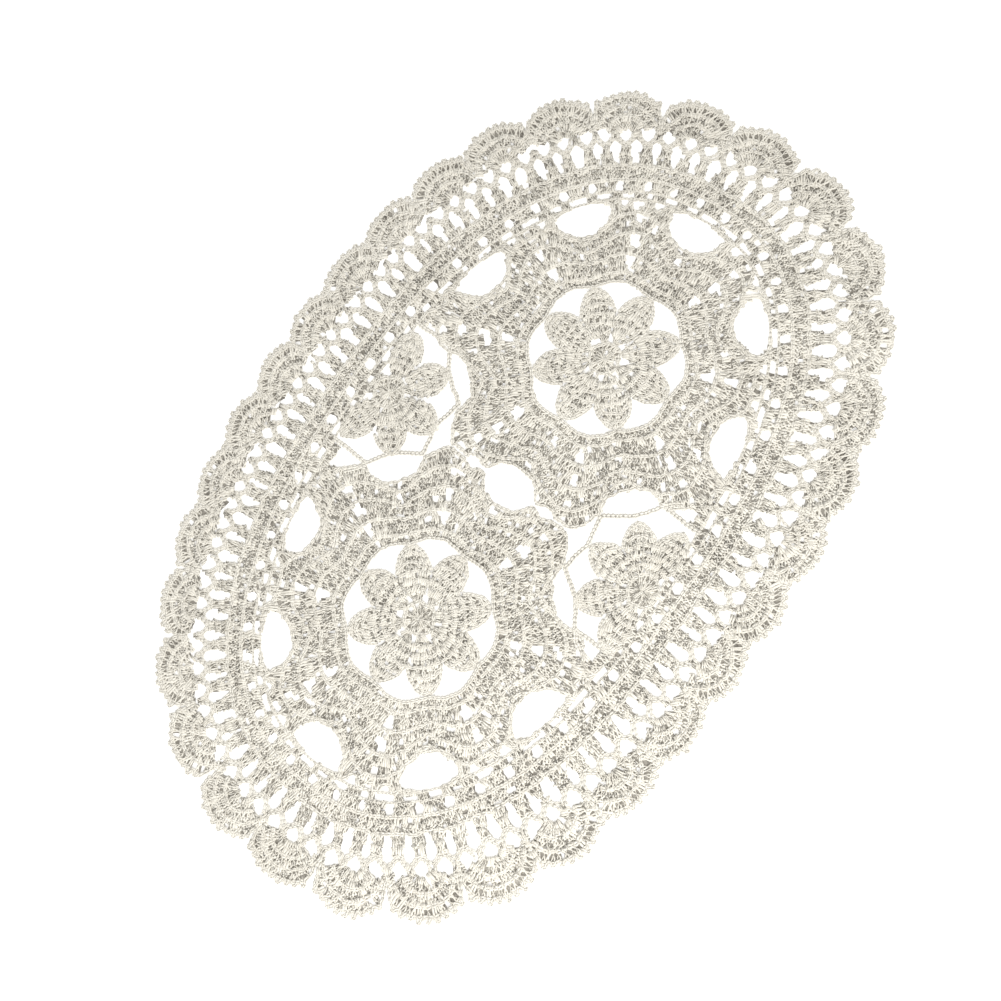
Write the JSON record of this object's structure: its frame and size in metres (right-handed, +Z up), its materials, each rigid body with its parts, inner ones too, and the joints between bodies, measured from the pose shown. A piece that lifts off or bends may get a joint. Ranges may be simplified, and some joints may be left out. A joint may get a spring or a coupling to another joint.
{
  "type": "oval crochet lace doily",
  "caption": "Flat oval openwork crochet doily with two petal medallions in stars, small side motifs in chain net, ring borders and a scalloped picot edge.",
  "frame": {"origin": "middle of the box at the flat underside, which rests on the surface", "axes": "+X along the long axis, +Y along the short axis, +Z up out of the face that shows"},
  "size_m": [0.4286, 0.286, 0.0027],
  "materials": {
    "cotton_yarn": "matt twisted cotton yarn, pale ecru"
  },
  "bodies": {
    "root": {"doily": "cotton_yarn"}
  },
  "joints": []
}
